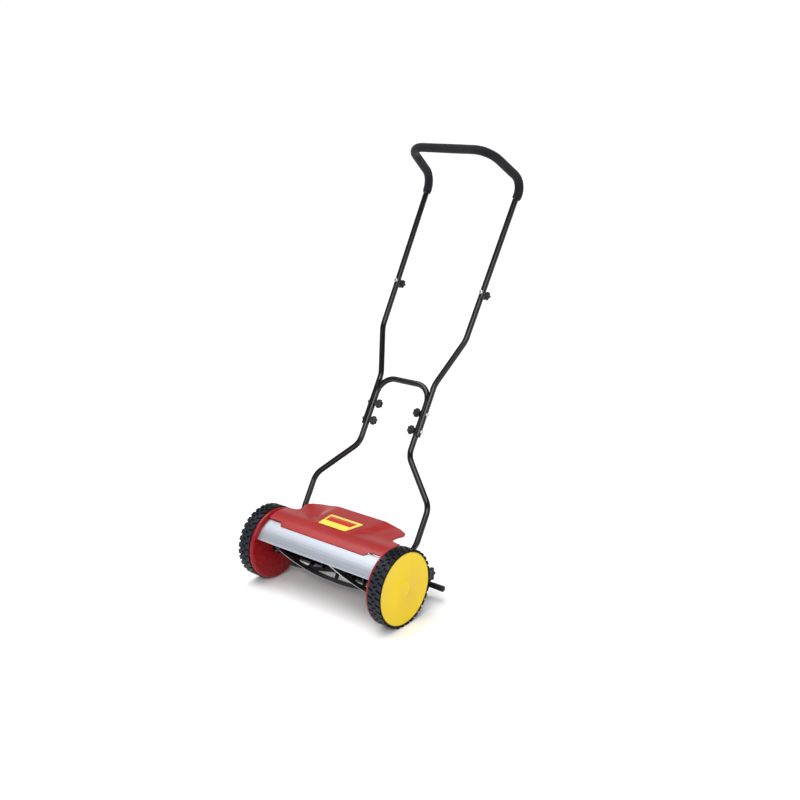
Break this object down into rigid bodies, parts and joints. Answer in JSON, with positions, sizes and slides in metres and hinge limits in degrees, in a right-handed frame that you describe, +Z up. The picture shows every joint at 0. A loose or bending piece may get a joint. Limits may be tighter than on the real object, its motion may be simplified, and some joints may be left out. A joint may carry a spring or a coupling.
{
  "type": "reel mower",
  "caption": "Push reel mower with large side wheels geared to a helical cutting reel, a curved front guard, a top cover, a rear height roller and a tall bolted tube handle with a foam grip.",
  "frame": {"origin": "ground point under the middle of the wheel axle", "axes": "+Z up, -Y the direction of mowing, +X towards the wheel beside the adjuster's stub"},
  "size_m": [0.489, 0.713, 1.139],
  "materials": {
    "tyre_rubber": "satin",
    "wheel_plastic": "matte",
    "disc_yellow": "gloss",
    "red_paint": "gloss",
    "red_cover": "gloss",
    "black_steel": "gloss",
    "zinc_steel": "satin",
    "blade_steel": "satin",
    "gear_nylon": "matte",
    "bushing": "satin",
    "guard_aluminium": "brushed",
    "foam": "matte",
    "knob_plastic": "matte",
    "label_yellow": "gloss"
  },
  "bodies": {
    "frame": {"side_plate_left": "red_paint", "side_plate_right": "red_paint", "chassis_plate_left": "black_steel", "chassis_plate_right": "black_steel", "axle_stub_left": "zinc_steel", "axle_stub_right": "zinc_steel", "bearing_housing_left": "black_steel", "bearing_housing_right": "black_steel", "mid_tube_left": "black_steel", "mid_tube_right": "black_steel", "axle_clips": "zinc_steel", "plate_rivets": "zinc_steel", "reel_bearings": "bushing", "bed_knife": "blade_steel", "bed_bar": "black_steel", "bed_screws": "zinc_steel", "bed_bolts": "zinc_steel", "tie_rods": "black_steel", "side_screws": "zinc_steel", "cover": "red_cover", "front_guard": "guard_aluminium", "label_plate": "label_yellow", "lower_handle": "black_steel", "upper_handle": "black_steel", "foam_grip": "foam", "neck_bolts": "zinc_steel", "joint_bolts": "zinc_steel", "foot_bolts": "zinc_steel", "pivot_bolts": "zinc_steel"},
    "wheel_left": {"tyre_left": "tyre_rubber", "wheel_core_left": "wheel_plastic", "wheel_bush_left": "bushing", "wheel_cover_left": "disc_yellow", "ring_gear_left": "gear_nylon"},
    "pinion_left": {"pinion_left": "gear_nylon"},
    "wheel_right": {"tyre_right": "tyre_rubber", "wheel_core_right": "wheel_plastic", "wheel_bush_right": "bushing", "wheel_cover_right": "disc_yellow", "ring_gear_right": "gear_nylon"},
    "pinion_right": {"pinion_right": "gear_nylon"},
    "reel": {"reel_shaft": "zinc_steel", "pawls": "zinc_steel", "shaft_clips": "zinc_steel", "reel_blades": "blade_steel", "reel_spiders": "black_steel"},
    "roller_carrier": {"roller_arm_left": "black_steel", "roller_arm_right": "black_steel", "adjuster_grip": "knob_plastic", "star_bolts": "zinc_steel", "roller_axle": "zinc_steel"},
    "roller": {"roller": "knob_plastic"},
    "star_knob_left": {"star_knob_left": "knob_plastic"},
    "star_knob_right": {"star_knob_right": "knob_plastic"},
    "neck_knob_low_left": {"neck_knob_low_left": "knob_plastic"},
    "neck_knob_low_right": {"neck_knob_low_right": "knob_plastic"},
    "neck_knob_high_left": {"neck_knob_high_left": "knob_plastic"},
    "neck_knob_high_right": {"neck_knob_high_right": "knob_plastic"},
    "joint_knob_left": {"joint_knob_left": "knob_plastic"},
    "joint_knob_right": {"joint_knob_right": "knob_plastic"}
  },
  "joints": [
    {"name": "wheel_left_spin", "type": "hinge", "parent": "frame", "child": "wheel_left", "pos_m": [0, 0, 0.1], "axis": [1, 0, 0], "continuous": true},
    {"name": "pinion_left_spin", "type": "hinge", "parent": "frame", "child": "pinion_left", "pos_m": [-0.2145, 0.04102, 0.09098], "axis": [1, 0, 0], "continuous": true},
    {"name": "wheel_right_spin", "type": "hinge", "parent": "frame", "child": "wheel_right", "pos_m": [0, 0, 0.1], "axis": [1, 0, 0], "continuous": true},
    {"name": "pinion_right_spin", "type": "hinge", "parent": "frame", "child": "pinion_right", "pos_m": [0.2145, 0.04102, 0.09098], "axis": [1, 0, 0], "continuous": true},
    {"name": "reel_spin", "type": "hinge", "parent": "frame", "child": "reel", "pos_m": [0, 0.04102, 0.09098], "axis": [1, 0, 0], "continuous": true},
    {"name": "height_adjust", "type": "hinge", "parent": "frame", "child": "roller_carrier", "pos_m": [0, 0.072, 0.062], "axis": [1, 0, 0], "range_deg": [-8, 8]},
    {"name": "roller_spin", "type": "hinge", "parent": "roller_carrier", "child": "roller", "pos_m": [0, 0.146, 0.021], "axis": [1, 0, 0], "continuous": true},
    {"name": "star_knob_left_turn", "type": "hinge", "parent": "roller_carrier", "child": "star_knob_left", "pos_m": [-0.204, 0.148, 0.072], "axis": [1, 0, 0], "continuous": true},
    {"name": "star_knob_right_turn", "type": "hinge", "parent": "roller_carrier", "child": "star_knob_right", "pos_m": [0.204, 0.148, 0.072], "axis": [1, 0, 0], "continuous": true},
    {"name": "neck_knob_low_left_turn", "type": "hinge", "parent": "frame", "child": "neck_knob_low_left", "pos_m": [-0.069, 0.24677, 0.41322], "axis": [1, 0, 0], "continuous": true},
    {"name": "neck_knob_low_right_turn", "type": "hinge", "parent": "frame", "child": "neck_knob_low_right", "pos_m": [0.069, 0.24677, 0.41322], "axis": [1, 0, 0], "continuous": true},
    {"name": "neck_knob_high_left_turn", "type": "hinge", "parent": "frame", "child": "neck_knob_high_left", "pos_m": [-0.069, 0.27105, 0.45462], "axis": [1, 0, 0], "continuous": true},
    {"name": "neck_knob_high_right_turn", "type": "hinge", "parent": "frame", "child": "neck_knob_high_right", "pos_m": [0.069, 0.27105, 0.45462], "axis": [1, 0, 0], "continuous": true},
    {"name": "joint_knob_left_turn", "type": "hinge", "parent": "frame", "child": "joint_knob_left", "pos_m": [-0.14504, 0.46425, 0.75055], "axis": [0, -0.8627, 0.5058], "continuous": true},
    {"name": "joint_knob_right_turn", "type": "hinge", "parent": "frame", "child": "joint_knob_right", "pos_m": [0.14504, 0.46425, 0.75055], "axis": [0, -0.8627, 0.5058], "continuous": true}
  ],
  "couplings": [
    {"joint": "pinion_left_spin", "follows": "wheel_left_spin", "ratio": 4},
    {"joint": "pinion_right_spin", "follows": "wheel_right_spin", "ratio": 4},
    {"joint": "reel_spin", "follows": "wheel_right_spin", "ratio": 4}
  ]
}
